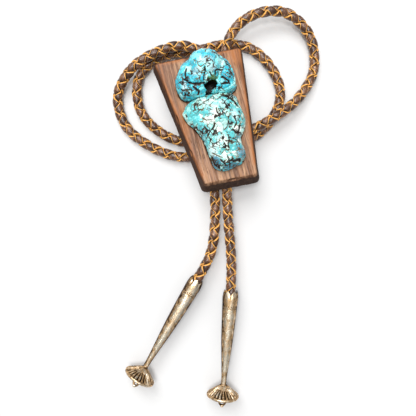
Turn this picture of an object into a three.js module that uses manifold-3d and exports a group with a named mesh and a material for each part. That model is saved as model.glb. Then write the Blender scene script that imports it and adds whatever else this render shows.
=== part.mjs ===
// Bolo tie: one braided cord wound twice round, with a silver tip on each end, drawn through a
// tapered wooden slide that carries two turquoise nuggets. It lies on a flat surface, front up.
// Millimetres. +Z is up, +Y runs from the tips to the slide's wide end, and z = 0 is the surface.
// The origin is on the surface, under the middle of the slide and the tips together.

import * as THREE from 'three';
import { mergeVertices } from 'three/addons/utils/BufferGeometryUtils.js';
import Module from 'manifold-3d';

const wasm = await Module();
wasm.setup();

// ---- driving dimensions -------------------------------------------------------------------

const GAP = 0.3;                       // between pieces that touch

const CORD_RADIUS = 3;
const CORD_SIDES = 8;
const CORD_STEPS = 80;

const SLAB_THICK = 8;
const SLAB_CORNER = 1.6;               // corner radius, seen from the front
// The slab's outline at some heights over its back, pushed out from the front corners below and
// lowered at its foot: it widens to its back, most at the foot, and both edges are softened.
const SLAB_SECTIONS = [
  { height: 0, outset: 0.9, foot: 1.9 },
  { height: 0.7, outset: 1.5, foot: 2.1 },
  { height: 6.5, outset: 0.3, foot: 0.4 },
  { height: 7.5, outset: -0.3, foot: 0 },
  { height: SLAB_THICK, outset: -0.9, foot: 0 },
];
// Front corners from the slide's middle, clockwise from the upper left.
const SLAB_CORNERS = [[-23.2, 36.3], [24, 34.1], [15.5, -34.6], [-13.6, -32.8]];
const POCKET_DEPTH = 1;                // the nuggets are let into the front by this much
const POCKET_MARGIN = 0.4;             // space round a nugget in its pocket

// The slide lies on the cords, turned and tipped a little: its back's middle and its angles.
const SLIDE_PLACE = [11.5, 59.8, 15.6];
const SLIDE_TURN = 14.5;
const SLIDE_TIP_SIDE = 3.5;
const SLIDE_TIP_END = -1.5;

const SLEEVE_LENGTH = 20;
const SLEEVE_WALL = 0.9;
const SLEEVE_CLEARANCE = 0.6;          // between the cords and the sleeve's tunnel
const STRAND_SPACING = 7;
const SLEEVE_MIDDLE = [7.7, 13.8];     // on the slab's back, from the slide's middle

const TIP_BORE_RADIUS = 3.5;
const TIP_BORE_DEPTH = 7.5;
const TIP_MOUTH_RADIUS = 4.1;
const TIP_PETALS = 6;
const TIP_PETAL_LENGTH = 4.6;
const TIP_SIDES = 24;
// The shaft swells a little below its mouth and tapers to a thin neck. Shares of its length.
const SHAFT_OUTLINE = [
  { radius: TIP_MOUTH_RADIUS, share: 0 },
  { radius: 4.35, share: 0.04 },
  { radius: 4.2, share: 0.15 },
  { radius: 3.75, share: 0.36 },
  { radius: 3.1, share: 0.57 },
  { radius: 2.1, share: 0.78 },
  { radius: 1.5, share: 0.93 },
  { radius: 1.55, share: 1.01 },
];
// The disc is a fluted cone, a plain rim and a domed underside, from its point on.
const DISC_RADIUS = 9;
const DISC_OUTLINE = [
  { radius: 1.6, along: 0 },
  { radius: 2.4, along: 0.5 },
  { radius: 4.5, along: 1.7, fluted: true },
  { radius: 6.8, along: 3.4, fluted: true },
  { radius: 8.3, along: 5, fluted: true },
  { radius: DISC_RADIUS, along: 6.2 },
  { radius: DISC_RADIUS, along: 6.8 },
  { radius: 5, along: 8.2 },
  { radius: 1.5, along: 8.8 },
];
const DISC_RIM_ALONG = 6.5;
const DISC_DEPTH = 8.9;
const DISC_FLUTES = 24;
const DISC_FLUTE_DEPTH = 0.3;
const LOOP_RADIUS = 1.6;               // of the small ring under the disc, to its wire's middle
const LOOP_WIRE_RADIUS = 0.6;
const LOOP_SINK = 0.5;                 // how far the ring is set into the disc
const BEAD_RADIUS = 1;
// Where each tip's mouth and the middle of its disc's rim are.
const TIPS = [
  { name: 'tip_left', mouth: [3.3, -26.2, 10.5], rim: [-29.6, -81.9, 9.05] },
  { name: 'tip_right', mouth: [21.8, -32.7, 10.4], rim: [17.2, -92.4, 9.05] },
];

// The cord's middle line, from inside the right tip to inside the left one: up through the
// sleeve, round the raised right loop, under the slide, up the inner left loop, across the top,
// down the inner right loop, under the slide again, up the outer left loop and down the sleeve.
const CORD_ROUTE = [
  [21.5, -38, 10.4],
  [22, -17, 10.4],
  [20, 11, 10.8],
  [19, 39.5, 11.4],
  [18.5, 65.5, 10],
  [18.8, 88, 9.5],
  [20, 105.5, 9.8],
  [27, 116, 10.6],
  [39, 122, 10.8],
  [54, 122, 8.6],
  [67, 110.5, 5],
  [69.5, 92, 3.4],
  [59.5, 74.5, 6.8],
  [45, 63, 10],
  [30.5, 55.5, 9.6],
  [21, 53.6, 4.2],
  [-9.5, 52, 3.1],
  [-29, 67.5, 3.1],
  [-30.5, 87.5, 3.1],
  [-18, 99.5, 3.1],
  [2.5, 103, 3.1],
  [17.5, 106.5, 3.1],
  [32, 105, 3.1],
  [44.5, 94.5, 3.1],
  [50.5, 78, 3.1],
  [43.5, 61, 3.1],
  [27.5, 49, 3.1],
  [8, 43, 3.1],
  [-13, 43.5, 3.1],
  [-37, 58.5, 3.1],
  [-42.5, 77, 3.9],
  [-33.5, 91.5, 8.6],
  [-18.5, 100.5, 9.9],
  [-4, 103.5, 9.9],
  [8, 97.5, 10],
  [11.8, 84, 10],
  [11, 45, 11.2],
  [13, 9.5, 10.8],
  [10.5, -12, 10.6],
  [0, -32, 10.4],
];

// Each nugget is a pebble with lumps on it. The outlines run clockwise, seen from the front.
const UPPER_PEBBLE = {
  middle: [0.8, 22.5],
  outline: [
    [4.5, 35.2], [8.6, 33.6], [12.3, 30.6], [15.4, 26], [16.6, 20], [15.7, 14.4], [13, 11],
    [9.5, 10.6], [2, 11.8], [-5.5, 11.6], [-11, 11.8], [-14.2, 15], [-15.2, 19.8],
    [-13.9, 24.8], [-10.6, 29.4], [-6, 32.9], [-1, 34.6],
  ],
};
const LOWER_PEBBLE = {
  middle: [1.2, -7],
  outline: [
    [-15, 7.2], [-11.8, 9.9], [-7.5, 11.8], [-2, 12.3], [5, 12.6], [9.6, 11.2], [12.6, 8.2],
    [14.8, 3.5], [16, -1.5], [15.9, -6], [13.6, -11], [10.8, -14.9], [11.3, -19], [11.5, -23.2],
    [9.3, -26.3], [4.5, -27.9], [0, -28.7], [-4.4, -27.6], [-6.6, -25], [-7.2, -21],
    [-7.9, -15], [-8.6, -9.5], [-11.2, -3.4], [-14, 0.6], [-15.4, 4],
  ],
};
const PEBBLE_STEPS = 44;               // round the outline
// How a pebble rounds off: heights over the slab's front, and the outline's scale there.
const PEBBLE_RINGS = [
  { height: -1.5, scale: 0.93 },
  { height: 1, scale: 0.985 },
  { height: 2.5, scale: 1 },
  { height: 4.3, scale: 0.96 },
  { height: 6, scale: 0.86 },
  { height: 7.3, scale: 0.7 },
  { height: 8, scale: 0.5 },
  { height: 8.4, scale: 0.2 },
];
// A lump has a middle, measured from the middle of the slab's front face, three half-widths
// and a turn in degrees.
const UPPER_LUMPS = [
  { name: 'dome', at: [2, 26.6, 4.5], half: [9.6, 9.5, 10], turn: 0 },
  { name: 'left shoulder', at: [-8.4, 23.4, 2.5], half: [5.8, 10.2, 7.8], turn: -28 },
  { name: 'right shoulder', at: [11, 21, 2.5], half: [5.4, 9.6, 7.5], turn: 8 },
  { name: 'lip', at: [-0.7, 20.4, 5.5], half: [9, 4.5, 6.5], turn: 0 },
  { name: 'left knob', at: [-10, 16.7, 1.8], half: [5, 4.8, 7], turn: 0 },
  { name: 'middle knob', at: [-3.4, 15, 1.5], half: [3.4, 2.8, 6], turn: 0 },
  { name: 'right lobe', at: [11.3, 14.2, 1.8], half: [4.9, 3.6, 6.6], turn: 0 },
];
const UPPER_HOLLOW = { at: [2.3, 16.4, 5.2], half: [4.2, 2.7, 5.2], turn: 8 };
const LOWER_LUMPS = [
  { name: 'body', at: [2.5, 1, 2.5], half: [11.5, 10.6, 8.8], turn: 0 },
  { name: 'left lobe', at: [-8, 5.4, 2], half: [7, 5.6, 7], turn: 25 },
  { name: 'top lobe', at: [10.3, 6.2, 1.5], half: [4.2, 5.2, 7], turn: 30 },
  { name: 'right bulge', at: [10.8, -3.3, 2], half: [5, 8, 8], turn: 0 },
  { name: 'neck', at: [0.8, -13, 2.2], half: [7.8, 10.5, 8], turn: 0 },
  { name: 'foot', at: [1, -22.4, 1.5], half: [7, 5.6, 7.6], turn: 0 },
  { name: 'right foot', at: [8, -21.8, 1.2], half: [3.2, 5, 6.6], turn: -15 },
];
const LUMP_DETAIL = 2;

// ---- colours and finishes -----------------------------------------------------------------

const material = (color, roughness, metalness = 0) =>
  new THREE.MeshStandardMaterial({ color, roughness, metalness });
const WALNUT = material(0x8a6046, 0.5);
const TURQUOISE_BLUE = material(0x4fc0cc, 0.3);
const TURQUOISE_PALE = material(0x9ad8d2, 0.3);
const BRAIDED_LEATHER = material(0x55361f, 0.5);
const AGED_SILVER = material(0xb9aa96, 0.35, 1);
const SLEEVE_METAL = material(0x9a9792, 0.4, 1);

// ---- helpers ------------------------------------------------------------------------------

const radians = THREE.MathUtils.degToRad;

function toSolid(geometry) {
  const bare = geometry.clone();
  bare.deleteAttribute('normal');
  bare.deleteAttribute('uv');
  const merged = mergeVertices(bare, 1e-4);
  return new wasm.Manifold(new wasm.Mesh({
    numProp: 3,
    vertProperties: new Float32Array(merged.attributes.position.array),
    triVerts: new Uint32Array(merged.index.array),
  }));
}

function toGeometry(solid) {
  const mesh = solid.getMesh();
  const geometry = new THREE.BufferGeometry();
  geometry.setAttribute('position', new THREE.BufferAttribute(new Float32Array(mesh.vertProperties), 3));
  geometry.setIndex(new THREE.BufferAttribute(new Uint32Array(mesh.triVerts), 1));
  geometry.computeVertexNormals();
  return geometry;
}

function named(name, geometry, finish) {
  const mesh = new THREE.Mesh(geometry, finish);
  mesh.name = name;
  return mesh;
}

// A convex outline pushed out by some distance, with arcs at its corners. The number of points
// stays the same for every distance, so two of them can be joined by a wall.
function roundedOutline(corners, radius, outset, arcSteps = 4) {
  const count = corners.length;
  const points = [];
  const edgeNormal = (i) => {
    const [ax, ay] = corners[i % count];
    const [bx, by] = corners[(i + 1) % count];
    return Math.atan2(bx - ax, -(by - ay));
  };
  for (let i = 0; i < count; i++) {
    const before = edgeNormal(i + count - 1);
    const turn = THREE.MathUtils.euclideanModulo(edgeNormal(i) - before + Math.PI, 2 * Math.PI) - Math.PI;
    const middle = before + turn / 2;
    const inward = radius / Math.cos(turn / 2);
    const cx = corners[i][0] - inward * Math.cos(middle);
    const cy = corners[i][1] - inward * Math.sin(middle);
    for (let k = 0; k <= arcSteps; k++) {
      const angle = before + turn * k / arcSteps;
      points.push([cx + (radius + outset) * Math.cos(angle), cy + (radius + outset) * Math.sin(angle)]);
    }
  }
  return points;
}

// A closed skin through rings of equal length, the first and last one closed by a flat fan.
function skinRings(rings) {
  const size = rings[0].length;
  const positions = [];
  const triangle = (a, b, c) => positions.push(...a, ...b, ...c);
  const centre = (ring) => [0, 1, 2].map((axis) => ring.reduce((sum, p) => sum + p[axis], 0) / size);
  for (let r = 0; r + 1 < rings.length; r++) {
    for (let i = 0; i < size; i++) {
      const j = (i + 1) % size;
      triangle(rings[r][i], rings[r + 1][j], rings[r][j]);
      triangle(rings[r][i], rings[r + 1][i], rings[r + 1][j]);
    }
  }
  const first = rings[0];
  const last = rings[rings.length - 1];
  for (let i = 0; i < size; i++) {
    const j = (i + 1) % size;
    triangle(centre(first), first[i], first[j]);
    triangle(centre(last), last[j], last[i]);
  }
  const geometry = new THREE.BufferGeometry();
  geometry.setAttribute('position', new THREE.Float32BufferAttribute(positions, 3));
  return geometry;
}

// ---- slide: slab, nuggets and sleeve ------------------------------------------------------
// In the slide's own frame the slab's back is at z = 0 and its front at z = SLAB_THICK.

function lump({ at, half, turn }, grow = 0) {
  const geometry = new THREE.IcosahedronGeometry(1, LUMP_DETAIL);
  geometry.scale(half[0] + grow, half[1] + grow, half[2] + grow);
  geometry.rotateZ(radians(turn));
  geometry.translate(at[0], at[1], at[2] + SLAB_THICK);
  return toSolid(geometry);
}

// A pebble's outline is a smooth closed curve, pushed out by the growth at each of its points.
function pebble({ middle, outline }, grow = 0) {
  const corners = outline.map(([x, y]) => new THREE.Vector3(x, y, 0));
  const curve = new THREE.CatmullRomCurve3(corners, true);
  const edge = [];
  for (let i = 0; i < PEBBLE_STEPS; i++) {
    const point = curve.getPoint(i / PEBBLE_STEPS);
    const tangent = curve.getTangent(i / PEBBLE_STEPS);
    edge.push([point.x - tangent.y * grow, point.y + tangent.x * grow]);
  }
  const [cx, cy] = middle;
  return toSolid(skinRings(PEBBLE_RINGS.map(({ height, scale }) =>
    edge.map(([x, y]) => [cx + scale * (x - cx), cy + scale * (y - cy), SLAB_THICK + height]))));
}

const nugget = (core, lumps, grow = 0) =>
  lumps.reduce((whole, each) => whole.add(lump(each, grow)), pebble(core, grow));

// A block wider than the slide, from some height up.
function above(height) {
  const size = 200;
  const block = new THREE.BoxGeometry(size, size, size);
  block.translate(0, 0, height + size / 2);
  return toSolid(block);
}

const pocketFloor = SLAB_THICK - POCKET_DEPTH;

function makeSlab() {
  const rings = SLAB_SECTIONS.map(({ height, outset, foot }) => {
    const corners = SLAB_CORNERS.map(([x, y]) => [x, y < 0 ? y - foot : y]);
    return roundedOutline(corners, SLAB_CORNER, outset).map(([x, y]) => [x, y, height]);
  });
  const pockets = nugget(UPPER_PEBBLE, UPPER_LUMPS, POCKET_MARGIN)
    .add(nugget(LOWER_PEBBLE, LOWER_LUMPS, POCKET_MARGIN))
    .intersect(above(pocketFloor));
  return toGeometry(toSolid(skinRings(rings)).subtract(pockets));
}

function makeUpperStone() {
  return toGeometry(nugget(UPPER_PEBBLE, UPPER_LUMPS)
    .subtract(lump(UPPER_HOLLOW))
    .subtract(nugget(LOWER_PEBBLE, LOWER_LUMPS, GAP))
    .intersect(above(pocketFloor + GAP)));
}

function makeLowerStone() {
  return toGeometry(nugget(LOWER_PEBBLE, LOWER_LUMPS).intersect(above(pocketFloor + GAP)));
}

// A short tunnel with flat faces and round sides, wide enough for two strands side by side.
function stadium(path, spacing, radius) {
  path.absarc(spacing / 2, 0, radius, -Math.PI / 2, Math.PI / 2, false);
  path.absarc(-spacing / 2, 0, radius, Math.PI / 2, 3 * Math.PI / 2, false);
  return path;
}

function makeSleeve() {
  const tunnelRadius = CORD_RADIUS + SLEEVE_CLEARANCE;
  const outerRadius = tunnelRadius + SLEEVE_WALL;
  const section = stadium(new THREE.Shape(), STRAND_SPACING, outerRadius);
  section.holes.push(stadium(new THREE.Path(), STRAND_SPACING, tunnelRadius));
  const geometry = new THREE.ExtrudeGeometry(section, {
    depth: SLEEVE_LENGTH,
    steps: 1,
    bevelEnabled: false,
    curveSegments: 8,
  });
  geometry.translate(0, 0, -SLEEVE_LENGTH / 2);
  geometry.rotateX(Math.PI / 2);
  geometry.rotateZ(radians(-SLIDE_TURN));
  geometry.translate(SLEEVE_MIDDLE[0], SLEEVE_MIDDLE[1], -GAP - outerRadius);
  return toGeometry(toSolid(geometry));
}

function makeSlide() {
  const slide = new THREE.Group();
  slide.add(
    named('wood_slab', makeSlab(), WALNUT),
    named('stone_upper', makeUpperStone(), TURQUOISE_BLUE),
    named('stone_lower', makeLowerStone(), TURQUOISE_PALE),
    named('cord_sleeve', makeSleeve(), SLEEVE_METAL),
  );
  slide.position.set(...SLIDE_PLACE);
  slide.rotation.set(radians(SLIDE_TIP_END), radians(SLIDE_TIP_SIDE), radians(SLIDE_TURN), 'ZYX');
  return slide;
}

// ---- tips ---------------------------------------------------------------------------------
// A tip is turned about +Y, from its mouth at y = 0 to its end loop.

function turned(profile, sides) {
  return new THREE.LatheGeometry(profile.map(([radius, along]) => new THREE.Vector2(radius, along)), sides);
}

function shaft(length) {
  const outline = SHAFT_OUTLINE.map(({ radius, share }) => [radius, share * length]);
  const end = outline[outline.length - 1][1];
  return toSolid(turned([[0, 0], ...outline, [0, end]], TIP_SIDES));
}

// Two steps to a flute put a ridge and a groove on neighbouring lines.
function disc(start) {
  const outline = DISC_OUTLINE.map(({ radius, along }) => [radius, along]);
  const geometry = turned([[0, 0], ...outline, [0, DISC_DEPTH]], 2 * DISC_FLUTES);
  const fluted = DISC_OUTLINE.filter((row) => row.fluted).map((row) => row.along);
  const position = geometry.attributes.position;
  for (let i = 0; i < position.count; i++) {
    const along = position.getY(i);
    if (fluted.some((height) => Math.abs(height - along) < 1e-3)) {
      const angle = Math.atan2(position.getZ(i), position.getX(i));
      position.setY(i, along - DISC_FLUTE_DEPTH * Math.cos(DISC_FLUTES * angle));
    }
  }
  geometry.translate(0, start, 0);
  return toSolid(geometry);
}

// A small ring of wire with a bead at its far side.
function endLoop(start) {
  const middle = start + LOOP_RADIUS;
  const ring = new THREE.TorusGeometry(LOOP_RADIUS, LOOP_WIRE_RADIUS, 8, 16);
  ring.translate(0, middle, 0);
  const bead = new THREE.SphereGeometry(BEAD_RADIUS, 12, 8);
  bead.translate(0, middle + LOOP_RADIUS + LOOP_WIRE_RADIUS / 2, 0);
  return toSolid(ring).add(toSolid(bead));
}

// A bar across the mouth, with a triangular section, cuts two opposite notches between petals.
function notch(turn) {
  const petalWidth = 2 * Math.PI * TIP_MOUTH_RADIUS / TIP_PETALS;
  const overshoot = 0.2;                      // the bar starts this share before the mouth
  const halfWidth = (1 + overshoot) * petalWidth / 2;
  const barLength = 3 * TIP_MOUTH_RADIUS;
  const triangle = new THREE.Shape([
    new THREE.Vector2(-halfWidth, -overshoot * TIP_PETAL_LENGTH),
    new THREE.Vector2(halfWidth, -overshoot * TIP_PETAL_LENGTH),
    new THREE.Vector2(0, TIP_PETAL_LENGTH),
  ]);
  const bar = new THREE.ExtrudeGeometry(triangle, { depth: barLength, steps: 1, bevelEnabled: false });
  bar.translate(0, 0, -barLength / 2);
  bar.rotateY(turn);
  return toSolid(bar);
}

function makeTip({ name, mouth, rim }) {
  const from = new THREE.Vector3(...mouth);
  const axis = new THREE.Vector3(...rim).sub(from);
  const length = axis.length() - DISC_RIM_ALONG;
  const bore = new THREE.CylinderGeometry(TIP_BORE_RADIUS, TIP_BORE_RADIUS, 2 * TIP_BORE_DEPTH, TIP_SIDES);
  let solid = shaft(length)
    .add(disc(length))
    .add(endLoop(length + DISC_DEPTH - LOOP_SINK))
    .subtract(toSolid(bore));
  for (let k = 0; k < TIP_PETALS / 2; k++) {
    solid = solid.subtract(notch(k * 2 * Math.PI / TIP_PETALS));
  }
  const tip = named(name, toGeometry(solid), AGED_SILVER);
  tip.position.copy(from);
  tip.quaternion.setFromUnitVectors(new THREE.Vector3(0, 1, 0), axis.normalize());
  return tip;
}

// ---- cord ---------------------------------------------------------------------------------

function makeCord() {
  const curve = new THREE.CatmullRomCurve3(CORD_ROUTE.map((point) => new THREE.Vector3(...point)));
  curve.arcLengthDivisions = 2000;
  const section = new THREE.Shape();
  for (let i = 0; i < CORD_SIDES; i++) {
    const angle = 2 * Math.PI * (i + 0.5) / CORD_SIDES;
    const place = i === 0 ? 'moveTo' : 'lineTo';
    section[place](CORD_RADIUS * Math.cos(angle), CORD_RADIUS * Math.sin(angle));
  }
  const geometry = new THREE.ExtrudeGeometry(section, {
    steps: CORD_STEPS,
    extrudePath: curve,
    bevelEnabled: false,
  });
  return named('cord', geometry, BRAIDED_LEATHER);
}

// ---- the whole ----------------------------------------------------------------------------

const boloTie = new THREE.Group();
boloTie.add(makeSlide(), makeCord());
TIPS.forEach((tip) => boloTie.add(makeTip(tip)));

export default boloTie;
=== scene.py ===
"""A bolo tie lying on a pale floor: a four-strand braided leather cord wound twice round, a
tapered walnut slide with two turquoise nuggets, and two fluted silver tips.

The scene is in metres. Shapes are worked out in millimetres, in their own frames, turned into metres
and placed by a matrix."""

import math
from typing import NamedTuple

import bpy
import numpy as np
from mathutils import Euler, Matrix, Vector, noise


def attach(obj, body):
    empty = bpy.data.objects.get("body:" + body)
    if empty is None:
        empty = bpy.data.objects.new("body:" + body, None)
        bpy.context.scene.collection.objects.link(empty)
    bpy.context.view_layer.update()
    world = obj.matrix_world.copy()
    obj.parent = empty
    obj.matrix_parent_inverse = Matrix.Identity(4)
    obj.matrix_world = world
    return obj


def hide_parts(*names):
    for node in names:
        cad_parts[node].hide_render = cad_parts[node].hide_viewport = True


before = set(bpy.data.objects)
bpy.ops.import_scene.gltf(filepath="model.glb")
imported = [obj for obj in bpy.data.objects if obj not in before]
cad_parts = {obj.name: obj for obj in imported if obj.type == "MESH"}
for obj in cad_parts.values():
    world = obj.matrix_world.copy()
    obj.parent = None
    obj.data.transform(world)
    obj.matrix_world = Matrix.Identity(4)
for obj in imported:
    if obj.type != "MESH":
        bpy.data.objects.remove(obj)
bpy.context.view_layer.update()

MM = 0.001


class LaceCorner(NamedTuple):
    """A corner of a lace's section, by its place across the lace and outwards from the cord.
    The side that goes on to the next corner may be raw cut edge."""
    across: float
    out: float
    raw: bool


class ShaftRing(NamedTuple):
    """A ring of a tip's shaft, in millimetres and in shares of the shaft's length."""
    radius: float
    share: float


class DiscRing(NamedTuple):
    """A ring of a tip's disc, with how deep its flutes are there, from 0 to 1."""
    radius: float
    along: float
    flute: float


class Seam(NamedTuple):
    """A crack, a dark vein or a groove darkened as a painted shadow, with sizes in millimetres and its
    darkness from 0 to 1.
    """
    half_width: float
    depth: float
    dark: float
    line: list


class Patch(NamedTuple):
    """A soft oval area, by its middle, its half sizes and how strong it is."""
    at: tuple
    half: tuple
    amount: float


# ---- camera, floor and light ----

CAMERA_PLACE = (0.009, 0.013, 0.270)  # straight above the middle of what is seen
VIEW_HALF_WIDTH = 0.12064  # of the floor, at the picture's edge
SENSOR_WIDTH = 36.0
FLOOR_SIZE = 6.0
KEY_PLACE = (-0.35, 1.05, 1.5)
KEY_TARGET = (0.0, 0.02, 0.0)
KEY_SIZE = (1.1, 1.1)
KEY_POWER = 21.5
OVERHEAD_PLACE = (-0.12, 0.05, 1.4)
OVERHEAD_TARGET = (0.0, 0.0, 0.0)
OVERHEAD_SIZE = (0.36, 0.36)
OVERHEAD_POWER = 9.0
SKY_AT_HORIZON = 0.16  # brightness of the room round the scene
SKY_OVERHEAD = 0.68
SKY_HEIGHTS = (0.15, 0.95)  # between which it brightens, as sines of the height angle

# ---- cord ----

# The cord's middle line, from inside the right tip to inside the left one, in metres.
CORD_ROUTE = [
    (0.0215, -0.038, 0.0104),
    (0.022, -0.017, 0.0104),
    (0.020, 0.011, 0.0108),
    (0.019, 0.0395, 0.0114),
    (0.0185, 0.0655, 0.010),
    (0.0188, 0.088, 0.0095),
    (0.020, 0.1055, 0.0098),
    (0.027, 0.116, 0.0106),
    (0.039, 0.122, 0.0108),
    (0.054, 0.122, 0.0086),
    (0.067, 0.1105, 0.005),
    (0.0695, 0.092, 0.0034),
    (0.0595, 0.0745, 0.0068),
    (0.045, 0.063, 0.010),
    (0.0305, 0.0555, 0.0096),
    (0.021, 0.0536, 0.0042),
    (-0.0095, 0.052, 0.0031),
    (-0.029, 0.0675, 0.0031),
    (-0.0305, 0.0875, 0.0031),
    (-0.018, 0.0995, 0.0031),
    (0.0025, 0.103, 0.0031),
    (0.0175, 0.1065, 0.0031),
    (0.032, 0.105, 0.0031),
    (0.0445, 0.0945, 0.0031),
    (0.0505, 0.078, 0.0031),
    (0.0435, 0.061, 0.0031),
    (0.0275, 0.049, 0.0031),
    (0.008, 0.043, 0.0031),
    (-0.013, 0.0435, 0.0031),
    (-0.037, 0.0585, 0.0031),
    (-0.0425, 0.077, 0.0039),
    (-0.0335, 0.0915, 0.0086),
    (-0.0185, 0.1005, 0.0099),
    (-0.004, 0.1035, 0.0099),
    (0.008, 0.0975, 0.010),
    (0.0118, 0.084, 0.010),
    (0.011, 0.045, 0.0112),
    (0.013, 0.0095, 0.0108),
    (0.0105, -0.012, 0.0106),
    (0.0, -0.032, 0.0104),
]
ROUTE_STEPS = 40  # between two of those points
CORD_SAMPLES = 3000  # along the whole cord
BRAID_PITCH_MM = 14.6  # along the cord, for one turn of a strand
BRAID_STEPS = 26  # rings to a turn
BRAID_RADIUS_MM = 1.86  # of the strands' middle lines, on average
BRAID_RISE_MM = 0.56  # how far a strand rises over, and dips under, that
BRAID_SHARPNESS = 2.4  # how abruptly it goes from over to under
BRAID_TWIST_MM = 260.0  # along the cord, for one slow turn of the whole braid
BRAID_START_TURN = 0.6  # the braid's turn at the right tip, in radians
# One lace's section, from its middle. More raw edge shows on one side than on the other.
LACE_SECTION = [
    LaceCorner(1.85, -0.5, True),
    LaceCorner(2.22, -0.22, True),
    LaceCorner(2.14, 0.14, True),
    LaceCorner(1.66, 0.44, False),
    LaceCorner(1.0, 0.52, False),
    LaceCorner(0.0, 0.57, False),
    LaceCorner(-1.0, 0.52, False),
    LaceCorner(-1.76, 0.42, True),
    LaceCorner(-2.12, 0.2, True),
    LaceCorner(-2.22, -0.22, True),
    LaceCorner(-1.85, -0.5, False),
    LaceCorner(0.0, -0.52, False),
]
# Slivers that stand off the cut edges: lowest and highest values, in millimetres unless said.
FRAY_COUNT = 26
FRAY_SEED = 5
FRAY_STEPS = 5
FRAY_ENDS_CLEAR = 20  # of both ends of the cord
FRAY_ANGLES = (0.1, 0.9)  # round the cord's upper side, in half turns
FRAY_LENGTHS = (0.8, 2.2)
FRAY_LIFTS = (0.15, 0.7)
FRAY_HALF_WIDTHS = (0.14, 0.26)
FRAY_LEANS = (0.2, 0.5)  # to either side, in radians
FRAY_ROOT_RADIUS = 2.75
FRAY_HALF_THICKNESS = 0.12

# ---- slide ----
# In the slide's frame its back is at z = 0 and its front at z = 8, and y runs to its wide end.

SLIDE_MIDDLE_MM = (11.5, 59.8, 15.6)
SLIDE_ANGLES = (-1.5, 3.5, 14.5)  # degrees about X, Y and Z, in that order
SLAB_FRONT_MM = 8.0
SLAB_CORNERS_MM = [(-23.2, 36.3), (24.0, 34.1), (15.5, -34.6), (-13.6, -32.8)]
SLAB_VOXEL_MM = 0.36
SLAB_SMOOTHING = 1
# Places along the front edge where a splinter is gone. The strength is its depth in millimetres.
SLAB_CHIPS = [
    Patch((-18.9, 3.5), (1.0, 4.0), 0.7),
    Patch((-16.2, -15.0), (0.8, 2.2), 0.6),
    Patch((1.5, -33.6), (3.0, 0.8), 0.5),
    Patch((20.6, 4.0), (0.6, 2.6), 0.4),
]
# Where the wood is orange-brown.
SLAB_WARM_PATCHES = [
    Patch((22.0, 31.0), (7.0, 9.0), 0.95),
    Patch((-21.5, 30.0), (3.5, 10.0), 0.7),
    Patch((-15.6, 2.0), (2.4, 12.0), 0.6),
]

STONE_VOXEL_MM = 0.22
STONE_SMOOTHING = 6
STONE_SWELL_MM = 0.3
# The nodules that the dark net parts: for each size in millimetres, its share of the tint.
COBBLE_TINTS = {4.0: 0.6, 2.4: 0.4}
VEIN_WIDTH = 0.043  # of the net's veins, in shares of their cobbles' size
FAINT_VEIN_WIDTH = 0.36  # of that, where the net is faint
FAINT_VEIN_DARKNESS = 0.3
THINNEST_VEIN_MM = 0.03
COBBLE_RISE = 0.06  # in shares of their size
# Cracks and seams on a nugget's face, and a groove under the upper one's lip that is darkened as a
# painted shadow. Their points are seen from the front.
UPPER_SEAMS = {
    # The lip's shadow, painted as a dark seam.
    "under the lip, left": Seam(0.5, 1.3, 1.0,
        [(-10.2, 21.0), (-8.5, 19.2), (-6.6, 18.0), (-4.2, 17.1), (-1.1, 16.8)]),
    "below the hollow": Seam(1.3, 1.2, 1.0, [(2.6, 16.0), (1.2, 13.9), (-0.4, 12.4)]),
    "right of the hollow": Seam(0.55, 1.4, 1.0, [(8.5, 18.3), (9.8, 16.9), (11.1, 15.8), (12.0, 14.2)]),
    "below that": Seam(0.5, 0.8, 0.9, [(11.3, 14.6), (9.4, 15.2), (7.7, 15.0)]),
    "down the dome": Seam(0.4, 0.6, 0.95, [(0.8, 23.7), (0.6, 22.1), (-0.4, 20.2), (-1.1, 18.3)]),
    "left of the dome": Seam(0.5, 0.7, 0.95, [(-8.2, 26.5), (-9.4, 24.1), (-9.6, 22.0), (-8.8, 20.1)]),
    "left flank": Seam(0.45, 0.4, 0.8, [(-9.8, 31.6), (-11.3, 29.2), (-12.6, 27.4)]),
    "dome, right vein": Seam(0.5, 0.5, 0.95, [(9.6, 21.6), (7.5, 21.8), (5.8, 21.2), (5.6, 20.0)]),
    "right flank": Seam(0.4, 0.4, 0.85,
        [(12.3, 26.6), (12.5, 24.4), (14.2, 23.5), (14.3, 20.7), (14.7, 16.3)]),
    "dome, top vein": Seam(0.45, 0.3, 0.7, [(7.1, 32.0), (8.8, 30.5), (10.1, 29.1), (11.3, 27.5)]),
    "top": Seam(0.4, 0.2, 0.6, [(4.4, 34.0), (3.4, 32.3)]),
    "dome, short": Seam(0.35, 0.2, 0.6, [(3.5, 29.0), (1.7, 28.4)]),
    "brown patch": Seam(0.4, 0.2, 0.4,
        [(-2.3, 27.2), (-2.4, 25.7), (-1.2, 24.3), (0.6, 25.0), (1.9, 25.2)]),
    "spots": Seam(0.4, 0.3, 0.8, [(2.8, 21.1), (3.3, 19.7), (4.1, 18.9)]),
    "left knob, top": Seam(0.4, 0.5, 0.85, [(-13.3, 17.2), (-12.0, 16.1), (-10.3, 16.2), (-8.9, 15.6)]),
    "left knob, middle": Seam(0.4, 0.5, 0.9, [(-11.0, 15.6), (-11.8, 13.6)]),
    "between the knobs": Seam(0.55, 0.8, 0.95,
        [(-6.8, 17.0), (-5.6, 15.6), (-4.4, 14.0), (-5.2, 12.8)]),
    "left flank, low": Seam(0.4, 0.4, 0.8, [(-11.3, 22.7), (-11.4, 20.5), (-12.3, 19.1)]),
}
UPPER_HOLLOW = {
    "at": (2.6, 16.2), "half": (4.7, 3.1), "floor": 13.2,
    "moss_at": (4.5, 18.6), "moss_half": (3.2, 1.3)}
# Where the net of veins is faint.
UPPER_CALM = [
    Patch((0.5, 30.5), (10.0, 5.5), 0.9),
    Patch((-10.0, 27.0), (4.0, 4.0), 0.7),
    Patch((4.0, 20.4), (6.0, 2.6), 0.9),
    Patch((-5.5, 20.5), (3.5, 3.0), 0.8),
]
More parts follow.
